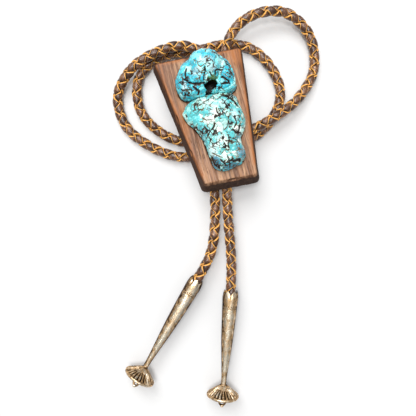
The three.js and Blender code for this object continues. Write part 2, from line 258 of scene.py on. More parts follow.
# Where it is dense and dark.
UPPER_BUSY = [
    Patch((-10.6, 14.8), (4.6, 4.2), 0.75),
    Patch((11.5, 20.5), (4.0, 6.5), 0.6),
    Patch((6.5, 25.0), (3.2, 2.6), 0.45),
    Patch((-11.6, 21.5), (3.4, 4.6), 0.5),
]
# Where its blue is deep.
UPPER_DEEP = [
    Patch((-10.5, 14.6), (5.0, 4.4), 0.12),
    Patch((-13.2, 21.5), (3.0, 8.0), 0.2),
    Patch((-8.6, 20.5), (2.0, 3.6), 0.25),
    Patch((10.5, 17.2), (3.4, 1.8), 0.5),
    Patch((-4.5, 14.2), (4.5, 3.0), 0.2),
    Patch((-2.0, 20.5), (5.0, 2.4), 0.15),
]
# Where it is whitish.
UPPER_PALE = [
    Patch((2.1, 27.3), (5.0, 2.6), 0.55),
    Patch((-3.7, 23.3), (3.4, 2.4), 0.6),
    Patch((4.2, 23.2), (3.2, 2.4), 0.7),
    Patch((-11.4, 18.2), (1.6, 3.0), 0.85),
    Patch((9.8, 25.0), (2.6, 2.2), 0.45),
]
LOWER_SEAMS = {
    "top right lobe": Seam(0.6, 1.0, 0.95,
        [(6.5, 10.4), (8.7, 8.5), (10.3, 6.3), (12.0, 4.5), (13.9, 2.4)]),
    "top right, branch": Seam(0.4, 0.4, 0.8, [(9.7, 8.0), (11.0, 9.1), (12.2, 9.6)]),
    "olive vein": Seam(0.5, 0.25, 0.7, [(-8.0, 8.8), (-9.0, 6.9), (-9.0, 5.0), (-10.1, 4.8)]),
    "beside it": Seam(0.4, 0.25, 0.75, [(-6.5, 8.2), (-7.6, 6.3)]),
    "ring": Seam(0.45, 0.4, 0.9,
        [(-8.4, -7.2), (-7.7, -5.5), (-6.4, -4.7), (-5.7, -6.3), (-6.6, -7.8)]),
    "slanting": Seam(0.5, 0.45, 0.95, [(-1.1, -4.6), (-2.4, -6.2), (-4.2, -7.3), (-6.1, -9.3)]),
    "its branch": Seam(0.4, 0.4, 0.85, [(-3.0, -6.5), (-1.4, -8.2), (-1.3, -9.9)]),
    "right hook": Seam(0.55, 0.7, 1.0, [(7.5, -9.3), (8.9, -11.3), (10.7, -10.7), (11.1, -8.3)]),
    "mid neck": Seam(0.4, 0.3, 0.8, [(3.9, -11.3), (5.0, -13.2)]),
    "right waist": Seam(0.4, 0.4, 0.8, [(6.7, -13.8), (8.5, -15.3), (9.0, -17.6)]),
    "foot, left": Seam(0.6, 0.6, 0.95, [(-6.8, -20.2), (-6.5, -22.9), (-5.5, -25.4)]),
    "foot, second": Seam(0.5, 0.6, 0.95, [(-3.1, -22.6), (-1.9, -24.5), (-0.8, -26.4)]),
    "foot, third": Seam(0.45, 0.5, 0.9, [(1.2, -22.0), (1.5, -24.8), (1.4, -27.5)]),
    "foot, right": Seam(0.7, 0.7, 1.0, [(2.4, -24.5), (4.4, -25.3), (6.6, -25.0), (7.5, -25.8)]),
    "left of the body": Seam(0.35, 0.2, 0.6, [(-6.5, 0.4), (-4.9, -1.6), (-2.4, -2.2)]),
    "middle": Seam(0.4, 0.3, 0.8, [(1.4, 2.8), (1.4, 0.7), (2.0, -1.1)]),
    "left end": Seam(0.5, 0.3, 0.9, [(-13.9, 4.3), (-13.9, 3.3)]),
    "low, slanting": Seam(0.35, 0.25, 0.6, [(-6.0, -18.2), (-3.8, -20.3), (-1.6, -21.9)]),
    "over the neck": Seam(0.35, 0.2, 0.6, [(6.4, -5.1), (4.7, -7.4), (2.8, -8.5)]),
    "right net": Seam(0.45, 0.3, 0.7, [(9.6, -3.8), (9.9, -6.6), (8.4, -8.4)]),
}
LOWER_PALE = [
    Patch((0.0, 1.2), (3.0, 2.6), 1.0),
    Patch((5.4, 5.3), (3.0, 3.0), 0.6),
    Patch((-3.0, 7.5), (3.0, 4.5), 0.55),
    Patch((-5.0, -17.0), (2.8, 4.5), 0.85),
    Patch((0.5, -13.2), (3.6, 3.4), 0.6),
    Patch((10.0, -2.2), (2.4, 4.0), 0.6),
    Patch((3.0, -6.0), (3.0, 3.0), 0.4),
]
LOWER_CALM = [
    Patch((-11.5, 5.0), (5.5, 5.5), 0.8),
    Patch((1.0, 2.0), (3.0, 4.0), 0.6),
]
LOWER_BUSY = [
    Patch((2.0, -26.0), (7.5, 3.6), 0.8),
    Patch((6.0, -15.0), (3.6, 4.6), 0.6),
    Patch((-5.5, -4.0), (4.0, 3.6), 0.55),
    Patch((8.0, 7.5), (5.0, 3.0), 0.6),
]
# Where its blue is deep, and round the foot painted shade along its bottom edge.
LOWER_DEEP_AND_FOOT_SHADE = [
    Patch((-5.2, -23.4), (3.2, 4.8), 0.95),
    Patch((8.8, -21.5), (3.2, 5.2), 0.8),
    Patch((3.0, -27.2), (7.0, 2.6), 0.75),
    Patch((11.8, 7.6), (3.2, 3.2), 0.45),
    Patch((-8.2, -8.0), (2.6, 6.0), 0.35),
    Patch((9.8, -12.4), (2.2, 3.4), 0.6),
]

# ---- tips ----
# A tip is turned about +Z from its mouth at z = 0, with its lengths in millimetres.

TIPS = [
    {"name": "tip_left", "mouth": (3.3, -26.2, 10.5), "rim": (-29.6, -81.9, 9.05), "turn": 0.5},
    {"name": "tip_right", "mouth": (21.8, -32.7, 10.4), "rim": (17.2, -92.4, 9.05), "turn": 0.0},
]
TIP_SEGMENTS = 144
TIP_PETALS = 6
TIP_WALL = 0.55
NOTCH_DEPTH = 2.3
CREASE_END = 7.0  # the creases between petals fade out here
SHAFT_OUTLINE = [
    ShaftRing(3.55, 0.0),
    ShaftRing(4.1, 0.035),
    ShaftRing(4.36, 0.075),
    ShaftRing(4.2, 0.15),
    ShaftRing(3.75, 0.36),
    ShaftRing(3.1, 0.57),
    ShaftRing(2.1, 0.78),
    ShaftRing(1.5, 0.93),
    ShaftRing(1.45, 1.0),
]
SUNBURST_PLACE = 11.0  # where the stamped rays start, from the mouth
SUNBURST_RAYS = 5
DISC_RIM_ALONG = 6.5
DISC_FLUTES = 24
DISC_SEGMENTS = 240
FLUTE_DEPTH = 0.75
DISC_LESS_TARNISH_AND_SHADE = 0.55  # how much less tarnish and painted side shade the disc gets than the shaft
# From its point: collar, fluted dome, rim and underside.
DISC_OUTLINE = [
    DiscRing(1.35, -0.6, 0.0),
    DiscRing(1.75, -0.1, 0.0),
    DiscRing(2.2, 0.25, 0.0),
    DiscRing(3.0, 0.85, 0.1),
    DiscRing(4.5, 2.0, 0.8),
    DiscRing(6.3, 3.35, 1.0),
    DiscRing(7.7, 4.45, 1.0),
    DiscRing(8.2, 4.85, 0.75),
    DiscRing(8.4, 5.0, 0.0),
    DiscRing(8.75, 5.2, 0.0),
    DiscRing(9.0, 5.55, 0.0),
    DiscRing(9.0, 6.1, 0.0),
    DiscRing(8.8, 6.45, 0.0),
    DiscRing(8.3, 6.6, 0.0),
    DiscRing(5.0, 7.9, 0.0),
    DiscRing(2.5, 8.6, 0.0),
    DiscRing(0.2, 8.8, 0.0),
]
LOOP_RADIUS = 1.6
LOOP_WIRE_RADIUS = 0.6
LOOP_START = 8.4  # from the disc's point
LOOP_GROOVE = 0.25  # how dark the ring is, as a groove's depth
BEAD_RADIUS = 1.0
BEAD_ROWS = 14
BEAD_SEGMENTS = 24


# ---- helpers ----

def srgb(red, green, blue):
    """The linear RGBA of a colour given as screen values from 0 to 255."""
    linear = [
        value / 255 / 12.92 if value <= 10 else ((value / 255 + 0.055) / 1.055) ** 2.4
        for value in (red, green, blue)
    ]
    return (*linear, 1.0)


def full_turn(count):
    return np.linspace(0, 2 * math.pi, count, endpoint=False)


def smoothstep(low, high, values):
    share = np.clip((values - low) / (high - low), 0.0, 1.0)
    return share * share * (3 - 2 * share)


def centripetal(points, steps):
    """A centripetal Catmull-Rom curve through the points, with so many steps between two."""
    points = np.asarray(points, float)
    ends = [2 * points[0] - points[1], *points, 2 * points[-1] - points[-2]]
    curve = []
    for before, start, end, after in zip(ends, ends[1:], ends[2:], ends[3:]):
        t0 = np.linalg.norm(start - before) ** 0.5
        t1 = np.linalg.norm(end - start) ** 0.5
        t2 = np.linalg.norm(after - end) ** 0.5
        leave = ((start - before) / t0 - (end - before) / (t0 + t1) + (end - start) / t1) * t1
        arrive = ((end - start) / t1 - (after - start) / (t1 + t2) + (after - end) / t2) * t1
        for step in range(steps):
            t = step / steps
            curve.append(
                start + leave * t
                + (3 * (end - start) - 2 * leave - arrive) * t ** 2
                + (2 * (start - end) + leave + arrive) * t ** 3
            )
    curve.append(points[-1])
    return np.array(curve)


def evenly(points, count):
    """The same line with so many points, evenly spaced, and its length."""
    travelled = np.r_[0, np.cumsum(np.linalg.norm(np.diff(points, axis=0), axis=1))]
    wanted = np.linspace(0, travelled[-1], count)
    spaced = [np.interp(wanted, travelled, points[:, axis]) for axis in range(points.shape[1])]
    return np.stack(spaced, axis=1), travelled[-1]


def add_object(name, data, place=Matrix.Identity(4)):
    piece = bpy.data.objects.new(name, data)
    bpy.context.scene.collection.objects.link(piece)
    piece.matrix_world = place
    return piece


def make_mesh(name, points, faces, smooth=True):
    mesh = bpy.data.meshes.new(name)
    mesh.from_pydata([tuple(point) for point in points], [], faces)
    mesh.polygons.foreach_set("use_smooth", [smooth] * len(mesh.polygons))
    mesh.update()
    return mesh


def capped_tube(rings, columns, first=0):
    """Faces of a tube of closed rings and its two flat ends. They face out if the rings turn left."""
    faces = []
    for ring in range(rings - 1):
        for column in range(columns):
            after = (column + 1) % columns
            low = first + ring * columns
            high = low + columns
            faces.append((low + column, low + after, high + after, high + column))
    last = first + (rings - 1) * columns
    faces.append(tuple(range(first + columns - 1, first - 1, -1)))
    faces.append(tuple(range(last, last + columns)))
    return faces


def write_attribute(mesh, name, values):
    attribute = mesh.attributes.new(name, "FLOAT", "POINT")
    attribute.data.foreach_set("value", np.asarray(values, np.float32))


def fractal(points, size, octaves=3, seed=0.0):
    """Smooth noise at each point, mostly from -1 to 1, with features of about that size."""
    shift = np.array([seed, 1.7 * seed, -2.3 * seed])
    places = points / size + shift
    return np.array([noise.fractal(Vector(place), 1.0, 2.0, octaves) for place in places])


def cobbles(points, size, seed=0.0):
    """How far each point is from the nearest border between cells of about that size, and a
    number from 0 to 1 that is the same all over a cell."""
    shift = np.array([seed, -seed, 0.5 * seed])
    wobble = np.stack([fractal(points, size * 0.7, 2, seed + 10 * axis) for axis in (1, 2, 3)], axis=1)
    borders, tints = [], []
    for point in points / size + 0.3 * wobble + shift:
        distances, cells = noise.voronoi(Vector(point))
        borders.append((distances[1] - distances[0]) * size / 2)
        tints.append(noise.cell(cells[0] * 37.0))
    return np.array(borders), np.array(tints)


def line_distance(points, line):
    """How far each point is, seen from the front, from a line of points."""
    nearest = np.full(len(points), np.inf)
    flat = points[:, :2]
    for start, end in zip(np.array(line[:-1], float), np.array(line[1:], float)):
        run = end - start
        share = np.clip((flat - start) @ run / (run @ run), 0, 1)
        nearest = np.minimum(nearest, np.linalg.norm(flat - start - share[:, None] * run, axis=1))
    return nearest


def patch_amount(points, patches):
    """How strongly some soft oval patches cover each point, from 0 to 1."""
    total = np.zeros(len(points))
    for patch in patches:
        away = np.linalg.norm((points[:, :2] - patch.at) / patch.half, axis=1)
        total = np.maximum(total, patch.amount * (1 - smoothstep(0.35, 1.15, away)))
    return total


def vertex_array(mesh):
    flat = np.empty(len(mesh.vertices) * 3)
    mesh.vertices.foreach_get("co", flat)
    return flat.reshape(-1, 3)


def normal_array(mesh):
    flat = np.empty(len(mesh.vertices) * 3)
    mesh.vertex_normals.foreach_get("vector", flat)
    return flat.reshape(-1, 3)


# ---- shader nodes ----

class Shader:
    """A material under construction. Its methods add nodes and return the socket they give."""

    def __init__(self, name):
        self.material = bpy.data.materials.new(name)
        self.material.use_nodes = True
        self.tree = self.material.node_tree
        self.tree.nodes.clear()

    def add(self, kind, inputs=(), output=0, **settings):
        node = self.tree.nodes.new(kind)
        for setting, value in settings.items():
            setattr(node, setting, value)
        for socket, value in dict(inputs).items():
            if isinstance(value, bpy.types.NodeSocket):
                self.tree.links.new(value, node.inputs[socket])
            else:
                node.inputs[socket].default_value = value
        return node.outputs[output]

    def place(self, stretch_mm):
        """Object coordinates, in steps of so many millimetres along each axis."""
        here = self.add("ShaderNodeTexCoord", output="Object")
        scale = tuple(1 / (size * MM) for size in stretch_mm)
        return self.add("ShaderNodeMapping", {"Vector": here, "Scale": scale})

    def noise(self, vector, detail=3.0, roughness=0.55, distortion=0.0):
        return self.add("ShaderNodeTexNoise", {
            "Vector": vector, "Scale": 1.0, "Detail": detail, "Roughness": roughness,
            "Distortion": distortion})

    def attribute(self, name, output="Fac"):
        return self.add("ShaderNodeAttribute", output=output, attribute_name=name)

    def span(self, value, low, high, to_low=0.0, to_high=1.0):
        return self.add("ShaderNodeMapRange", {
            "Value": value, "From Min": low, "From Max": high, "To Min": to_low, "To Max": to_high},
            interpolation_type="SMOOTHSTEP")

    def math(self, operation, first, second):
        return self.add("ShaderNodeMath", {0: first, 1: second}, operation=operation)

    def weighted(self, terms):
        """The sum of some sockets, each times its own number."""
        total = 0.0
        for socket, weight in terms:
            total = self.math("ADD", total, self.math("MULTIPLY", socket, weight))
        return total

    def mix(self, share, first, second):
        return self.add("ShaderNodeMix", {0: share, 6: first, 7: second}, output=2, data_type="RGBA")

    def ramp(self, value, stops):
        socket = self.add("ShaderNodeValToRGB", {"Fac": value})
        elements = socket.node.color_ramp.elements
        while len(elements) < len(stops):
            elements.new(1.0)
        for element, (position, color) in zip(elements, stops):
            element.position = position
            element.color = color
        return socket

    def bump(self, height, depth_mm, strength=1.0):
        return self.add("ShaderNodeBump", {
            "Height": height, "Distance": depth_mm * MM, "Strength": strength})

    def finish(self, **inputs):
        named = {key.replace("_", " "): value for key, value in inputs.items()}
        surface = self.add("ShaderNodeBsdfPrincipled", named)
        self.add_output(surface)
        return self.material

    def add_output(self, surface):
        output = self.tree.nodes.new("ShaderNodeOutputMaterial")
        self.tree.links.new(surface, output.inputs["Surface"])


# ---- materials ----

def leather_material():
    """Smooth dyed leather with fine creases along each lace, and painted shade where a lace dives under
    the others.
    """
    shader = Shader("braided_leather")
    lace = shader.attribute("lace", "Vector")
    # Painted shade: near black where a lace dives under the others.
    dive_shade = shader.span(shader.attribute("over"), 0.3, 0.85, 1.0, 0.0)
    stretched = shader.add("ShaderNodeMapping", {"Vector": lace, "Scale": (3.2, 0.45, 7.0)})
    creases = shader.noise(stretched, detail=4.0)
    blotches = shader.noise(shader.place((5.0, 5.0, 5.0)), detail=2.0)
    worn = shader.math("MULTIPLY", shader.span(creases, 0.35, 0.7), shader.span(blotches, 0.3, 0.7))
    color = shader.ramp(worn, [
        (0.0, srgb(62, 36, 21)), (0.4, srgb(122, 80, 52)), (1.0, srgb(208, 162, 122))])
    color = shader.mix(dive_shade, color, srgb(14, 8, 5))
    return shader.finish(
        Base_Color=color,
        Roughness=shader.span(creases, 0.3, 0.8, 0.22, 0.38),
        Specular_IOR_Level=0.7,
        Normal=shader.bump(creases, 0.12))


def raw_edge_material():
    """The laces' cut edges: undyed, fibrous and golden tan, with painted shade where a lace dives under
    the others.
    """
    shader = Shader("raw_leather_edge")
    lace = shader.attribute("lace", "Vector")
    fibres = shader.noise(
        shader.add("ShaderNodeMapping", {"Vector": lace, "Scale": (6.0, 1.6, 3.0)}), detail=4.0)
    patches = shader.noise(shader.place((3.5, 3.5, 3.5)), detail=2.0)
    color = shader.ramp(fibres, [
        (0.25, srgb(178, 102, 34)), (0.42, srgb(244, 162, 66)), (0.65, srgb(255, 212, 124))])
    stained = shader.mix(shader.span(patches, 0.55, 0.75, 0.0, 0.7), color, srgb(96, 58, 32))
    # Painted shade: the cut edge goes near black where its lace dives under.
    dive_shade = shader.span(shader.attribute("over"), 0.05, 0.5, 1.0, 0.0)
    stained = shader.mix(dive_shade, stained, srgb(36, 20, 9))
    return shader.finish(Base_Color=stained, Roughness=0.7, Normal=shader.bump(fibres, 0.15))


def turquoise_material(name, tones, whiteness):
    """Polished turquoise. The mesh says where it is veined, whitish, deep blue, hollow or mossy, and
    where shade is painted: in the hollow, where the nugget meets the wood and round the lower nugget's
    foot.
    """
    shader = Shader(name)
    clouds = shader.noise(shader.place((5.0, 5.0, 5.0)), detail=4.0, distortion=0.6)
    mottling = shader.noise(shader.place((0.9, 0.9, 0.9)), detail=4.0)
    tone = shader.weighted([(clouds, 0.5), (mottling, 0.16), (shader.attribute("tint"), 0.36)])
    color = shader.ramp(tone, tones)
    spread = shader.span(mottling, 0.25, 0.65, 0.3 * whiteness, whiteness)
    chalk = shader.math("MULTIPLY", shader.attribute("chalk"), spread)
    color = shader.mix(chalk, color, srgb(240, 250, 246))
    # Deep blue, and at the lower nugget's foot painted shade.
    color = shader.mix(shader.attribute("deep_blue_and_shade"), color, srgb(0, 118, 152))
    vein = shader.attribute("vein")
    rough_vein_and_shade = shader.math("MULTIPLY", vein, shader.span(mottling, 0.25, 0.5, 0.6, 1.0))
    browns = shader.mix(shader.span(clouds, 0.4, 0.6), srgb(104, 96, 88), srgb(112, 92, 48))
    color = shader.mix(shader.span(rough_vein_and_shade, 0.08, 0.4), color, browns)
    color = shader.mix(shader.span(rough_vein_and_shade, 0.42, 0.72), color, srgb(12, 9, 8))
    color = shader.mix(shader.attribute("moss"), color, srgb(70, 104, 16))
    # Painted shade: the hollow goes near black.
    color = shader.mix(shader.attribute("hollow"), color, srgb(6, 5, 4))
    return shader.finish(
        Base_Color=color,
        Roughness=shader.span(rough_vein_and_shade, 0.1, 0.6, 0.16, 0.6),
        Specular_IOR_Level=0.45,
        Coat_Weight=0.2,
        Coat_Roughness=0.1,
        Normal=shader.bump(mottling, 0.2))


def walnut_material():
    """Oiled walnut, streaked along the slide and orange-brown at its edges. Its sides and the pocket
    round the stones are darkened as painted shade, and it is darker in the chips.
    """
    shader = Shader("walnut")
    streaks = shader.noise(shader.place((2.4, 60.0, 2.4)), detail=4.0, distortion=0.35)
    lines = shader.noise(shader.place((0.7, 26.0, 0.7)), detail=3.0)
    pores = shader.noise(shader.place((0.34, 4.0, 0.34)), detail=2.0)
    color = shader.ramp(streaks, [
        (0.32, srgb(64, 39, 26)), (0.43, srgb(124, 83, 57)), (0.52, srgb(164, 119, 87)),
        (0.66, srgb(196, 151, 115))])
    color = shader.mix(shader.span(lines, 0.5, 0.66, 0.0, 0.65), color, srgb(74, 46, 31))
    color = shader.mix(shader.span(pores, 0.58, 0.68, 0.0, 0.6), color, srgb(50, 30, 21))
    warm = shader.math("MULTIPLY", shader.attribute("edge"), shader.span(streaks, 0.32, 0.56, 0.3, 1.0))
    color = shader.mix(warm, color, srgb(172, 104, 52))
    # Painted shade: the sides and the pocket round the stones go dark brown, and the chips darken too.
    color = shader.mix(shader.attribute("shade"), color, srgb(42, 25, 18))
    relief = shader.math("SUBTRACT", lines, shader.span(pores, 0.6, 0.72, 0.0, 0.6))
    return shader.finish(
        Base_Color=color,
        Roughness=shader.span(shader.attribute("shade"), 0.0, 0.8, 0.4, 0.9),
        Specular_IOR_Level=0.35,
        Normal=shader.bump(relief, 0.12))


def silver_material():
    """Worn silver: bright on the ridges and the front, brown and pitted in the grooves and on the
    sides. The grooves' brown is patina; the bright front and brown sides come from which way each face
    turns, partly tarnish and partly painted light and shade."""
    shader = Shader("aged_silver")
    fine = shader.noise(shader.place((1.0, 1.0, 1.5)), detail=5.0, roughness=0.7)
    broad = shader.noise(shader.place((2.6, 2.6, 6.0)), detail=3.0)
    scratches = shader.noise(shader.place((0.3, 0.3, 3.0)), detail=3.0)
    tarnish_and_side_shade = shader.attribute("tarnish_and_side_shade")
    amount = shader.math("ADD", tarnish_and_side_shade, shader.span(broad, 0.3, 0.7, -0.2, 0.3))
    worn = shader.span(amount, 0.1, 0.7, 0.25, 1.0)
    pits = shader.math("MULTIPLY", shader.span(fine, 0.48, 0.58), worn)
    # Bright where faces turn up, as painted light, and brown on the sides, partly tarnish and partly
    # painted shade.
    color = shader.ramp(amount, [
        (0.0, srgb(255, 243, 220)), (0.35, srgb(226, 186, 136)), (0.85, srgb(72, 45, 25))])
    color = shader.mix(shader.math("MULTIPLY", pits, 0.95), color, srgb(44, 31, 21))
    color = shader.mix(shader.attribute("groove"), color, srgb(48, 34, 22))
    rough = shader.weighted([(shader.span(amount, 0.0, 1.0, 0.27, 0.44), 1.0), (pits, 0.25)])
    relief = shader.weighted([(scratches, 0.5), (pits, -1.0)])
    return shader.finish(
        Base_Color=color,
        Metallic=1.0,
        Roughness=rough,
        Normal=shader.bump(relief, 0.1))


def sleeve_material():
    shader = Shader("sleeve_metal")
    brushed = shader.noise(shader.place((0.4, 6.0, 0.4)), detail=3.0)
    color = shader.ramp(brushed, [(0.3, srgb(120, 118, 114)), (0.7, srgb(176, 172, 166))])
    return shader.finish(
        Base_Color=color,
        Metallic=1.0,
        Roughness=shader.span(brushed, 0.3, 0.7, 0.32, 0.48),
        Normal=shader.bump(brushed, 0.03))


def floor_material():
    return Shader("floor").finish(
        Base_Color=(0.76, 0.76, 0.76, 1.0), Roughness=0.9, Specular_IOR_Level=0.1)


# ---- camera, floor and lights ----

def make_camera():
    data = bpy.data.cameras.new("camera")
    data.sensor_width = SENSOR_WIDTH
    data.lens = SENSOR_WIDTH / 2 * CAMERA_PLACE[2] / VIEW_HALF_WIDTH
    camera = add_object("camera", data)
    camera.location = CAMERA_PLACE
    bpy.context.scene.camera = camera


def make_floor():
    half = FLOOR_SIZE / 2
    corners = [(-half, -half, 0), (half, -half, 0), (half, half, 0), (-half, half, 0)]
    mesh = make_mesh("floor", corners, [(0, 1, 2, 3)])
    floor = add_object("floor", mesh)
    mesh.materials.append(floor_material())


def add_area_light(name, place, target, size, power):
    data = bpy.data.lights.new(name, "AREA")
    data.shape = "RECTANGLE"
    data.size, data.size_y = size
    data.energy = power
    light = add_object(name, data)
    light.location = place
    light.rotation_euler = (Vector(target) - Vector(place)).to_track_quat("-Z", "Y").to_euler()


def make_lights():
    """A large soft key from above the picture's top left, a softbox overhead and a dim room."""
    add_area_light("key", KEY_PLACE, KEY_TARGET, KEY_SIZE, KEY_POWER)
    add_area_light("overhead", OVERHEAD_PLACE, OVERHEAD_TARGET, OVERHEAD_SIZE, OVERHEAD_POWER)
    world = bpy.data.worlds.new("studio")
    bpy.context.scene.world = world
    world.use_nodes = True
    nodes, links = world.node_tree.nodes, world.node_tree.links
    direction = nodes.new("ShaderNodeTexCoord")
    height = nodes.new("ShaderNodeSeparateXYZ")
    links.new(direction.outputs["Generated"], height.inputs["Vector"])
    sky = nodes.new("ShaderNodeMapRange")
    sky.interpolation_type = "SMOOTHSTEP"
    links.new(height.outputs["Z"], sky.inputs["Value"])
    values = (*SKY_HEIGHTS, SKY_AT_HORIZON, SKY_OVERHEAD)
    for setting, value in zip(("From Min", "From Max", "To Min", "To Max"), values):
        sky.inputs[setting].default_value = value
    links.new(sky.outputs["Result"], nodes["Background"].inputs["Strength"])
    nodes["Background"].inputs["Color"].default_value = (1.0, 1.0, 1.0, 1.0)
    bpy.context.scene.view_settings.view_transform = "Standard"


# ---- cord ----

class CordFrame:
    """Points near the cord, by distance along it, angle round it and distance from its middle."""

    def __init__(self, route):
        dense = centripetal(np.array(route) / MM, ROUTE_STEPS)
        self.points, self.length = evenly(dense, CORD_SAMPLES)
        self.along = np.linspace(0, self.length, len(self.points))
        tangents = np.gradient(self.points, axis=0)
        tangents /= np.linalg.norm(tangents, axis=1)[:, None]
        self.tangents = tangents
        up = np.array([0.0, 0.0, 1.0])
        side = np.cross(up, tangents[0])
        sides = []
        for tangent in tangents:
            side = side - tangent * (side @ tangent)
            side = side / np.linalg.norm(side)
            sides.append(side)
        self.sides = np.array(sides)
        self.ups = np.cross(self.tangents, self.sides)

    def pick(self, table, along):
        """A table's value at each distance along the cord."""
        return np.stack([np.interp(along, self.along, column) for column in table.T], axis=-1)

    def at(self, along, angle, radius):
        sideways = np.cos(angle)[..., None] * self.pick(self.sides, along)
        upwards = np.sin(angle)[..., None] * self.pick(self.ups, along)
        past_ends = along - np.clip(along, 0, self.length)
        middle = self.pick(self.points, along) + past_ends[..., None] * self.pick(self.tangents, along)
        return middle + radius[..., None] * (sideways + upwards)


def braid_height(phase):
    return BRAID_RISE_MM * np.tanh(BRAID_SHARPNESS * np.cos(phase)) / math.tanh(BRAID_SHARPNESS)


def make_lace(cord, direction, index):
    """One strand's rings. It turns round the cord, over and under those that turn the other way."""
    rings = int(cord.length / BRAID_PITCH_MM * BRAID_STEPS)
    along = np.linspace(0, cord.length, rings)
    turn = 2 * math.pi * along / BRAID_PITCH_MM
    angle = direction * turn + index * math.pi
    across = direction * np.array([corner.across for corner in LACE_SECTION])
    out = np.array([corner.out for corner in LACE_SECTION])
    here = np.stack([along, np.full(rings, 7.0 * index), np.full(rings, 3.0 * direction)], axis=1)
    width = 1 + 0.05 * fractal(here, 9.0, 2)
    rise = direction * braid_height(2 * turn)
    middle = BRAID_RADIUS_MM + rise + 0.06 * fractal(here, 7.0, 2, seed=4)
    slope = math.atan2(2 * math.pi * (BRAID_RADIUS_MM + 0.3), BRAID_PITCH_MM)
    offset = across[None, :] * width[:, None]
    spread_along = along[:, None] - direction * offset * math.sin(slope)
    spread_angle = angle[:, None] + offset * math.cos(slope) / middle[:, None]
    twist = BRAID_START_TURN + 2 * math.pi * spread_along / BRAID_TWIST_MM
    radius = middle[:, None] + out[None, :]
    points = cord.at(spread_along, spread_angle + twist, radius)
    lace = np.stack([
        np.broadcast_to(across, spread_along.shape),
        np.broadcast_to(along[:, None], spread_along.shape),
        np.full(spread_along.shape, 10.0 * index + 20.0 * direction),
    ], axis=-1)
    over = np.repeat(0.5 + 0.5 * rise / BRAID_RISE_MM, len(LACE_SECTION))
    return points.reshape(-1, 3), lace.reshape(-1, 3), over, rings


def make_frays(cord, rng):
    """Slivers of raw edge that stand off the cord here and there."""
    points, faces = [], []
    clear = FRAY_ENDS_CLEAR
    for start in np.sort(rng.uniform(clear, cord.length - clear, FRAY_COUNT)):
        angle = rng.uniform(*FRAY_ANGLES) * math.pi
        length = rng.uniform(*FRAY_LENGTHS)
        lift = rng.uniform(*FRAY_LIFTS)
        half = rng.uniform(*FRAY_HALF_WIDTHS)
        lean = rng.choice([-1.0, 1.0]) * rng.uniform(*FRAY_LEANS)
        faces.extend(capped_tube(FRAY_STEPS, 4, len(points)))
        for share in np.linspace(0, 1, FRAY_STEPS):
            thin = half * (1 - 0.85 * share ** 2)
            radius = FRAY_ROOT_RADIUS + lift * share ** 1.5
            ring_along = start + length * share + thin * np.array([-1, 0, 1, 0])
            ring_radius = radius + FRAY_HALF_THICKNESS * np.array([0, 1, 0, -1])
            ring_angle = np.full(4, angle + lean * share)
            points.extend(cord.at(ring_along, ring_angle, ring_radius))
    return points, faces


def make_cord():
    cord = CordFrame(CORD_ROUTE)
    points, faces, laces, overs, raw = [], [], [], [], []
    columns = len(LACE_SECTION)
    for direction in (1, -1):
        for index in (0, 1):
            strand, lace, over, rings = make_lace(cord, direction, index)
            first = sum(len(part) for part in points)
            points.append(strand)
            laces.append(lace)
            overs.append(over)
            faces.extend(face[::direction] for face in capped_tube(rings, columns, first))
            raw.extend([corner.raw for corner in LACE_SECTION] * (rings - 1) + [False, False])
    fray_points, fray_faces = make_frays(cord, np.random.default_rng(FRAY_SEED))
    first = sum(len(part) for part in points)
    faces.extend(tuple(first + corner for corner in face) for face in fray_faces)
    raw.extend([True] * len(fray_faces))
    points.append(np.array(fray_points))
    laces.append(np.array(fray_points))
    overs.append(np.ones(len(fray_points)))
    mesh = make_mesh("cord_braid", np.concatenate(points) * MM, faces)
    mesh.materials.append(leather_material())
    mesh.materials.append(raw_edge_material())
    mesh.polygons.foreach_set("material_index", [int(is_raw) for is_raw in raw])
    lace_attribute = mesh.attributes.new("lace", "FLOAT_VECTOR", "POINT")
    lace_attribute.data.foreach_set("vector", np.concatenate(laces).astype(np.float32).ravel())
    write_attribute(mesh, "over", np.concatenate(overs))
    piece = add_object("cord_braid", mesh)
    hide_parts("cord")
    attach(piece, "root")
    return piece, cord


# ---- slide ----

def slide_place():
    middle = Matrix.Translation(Vector(SLIDE_MIDDLE_MM) * MM)
    return middle @ Euler([math.radians(angle) for angle in SLIDE_ANGLES]).to_matrix().to_4x4()


def remeshed_copy(name, node, voxel_mm, smoothing):
    """A CAD node's shape as a fine even mesh, in the slide's frame, in metres."""
    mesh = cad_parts[node].data.copy()
    mesh.transform(slide_place().inverted())
    mesh.materials.clear()
    rough = add_object(name + "_rough", mesh)
    remesh = rough.modifiers.new("remesh", "REMESH")
    remesh.mode = "VOXEL"
    remesh.voxel_size = voxel_mm * MM
    smooth = rough.modifiers.new("smooth", "SMOOTH")
    smooth.factor = 0.5
    smooth.iterations = smoothing
    ready = rough.evaluated_get(bpy.context.evaluated_depsgraph_get())
    fine = bpy.data.meshes.new_from_object(ready)
    fine.name = name
    bpy.data.objects.remove(rough)
    fine.polygons.foreach_set("use_smooth", [True] * len(fine.polygons))
    return fine


def move_along_normals(mesh, heights_mm):
    moved = vertex_array(mesh) + normal_array(mesh) * (heights_mm * MM)[:, None]
    mesh.vertices.foreach_set("co", moved.ravel())
    mesh.update()


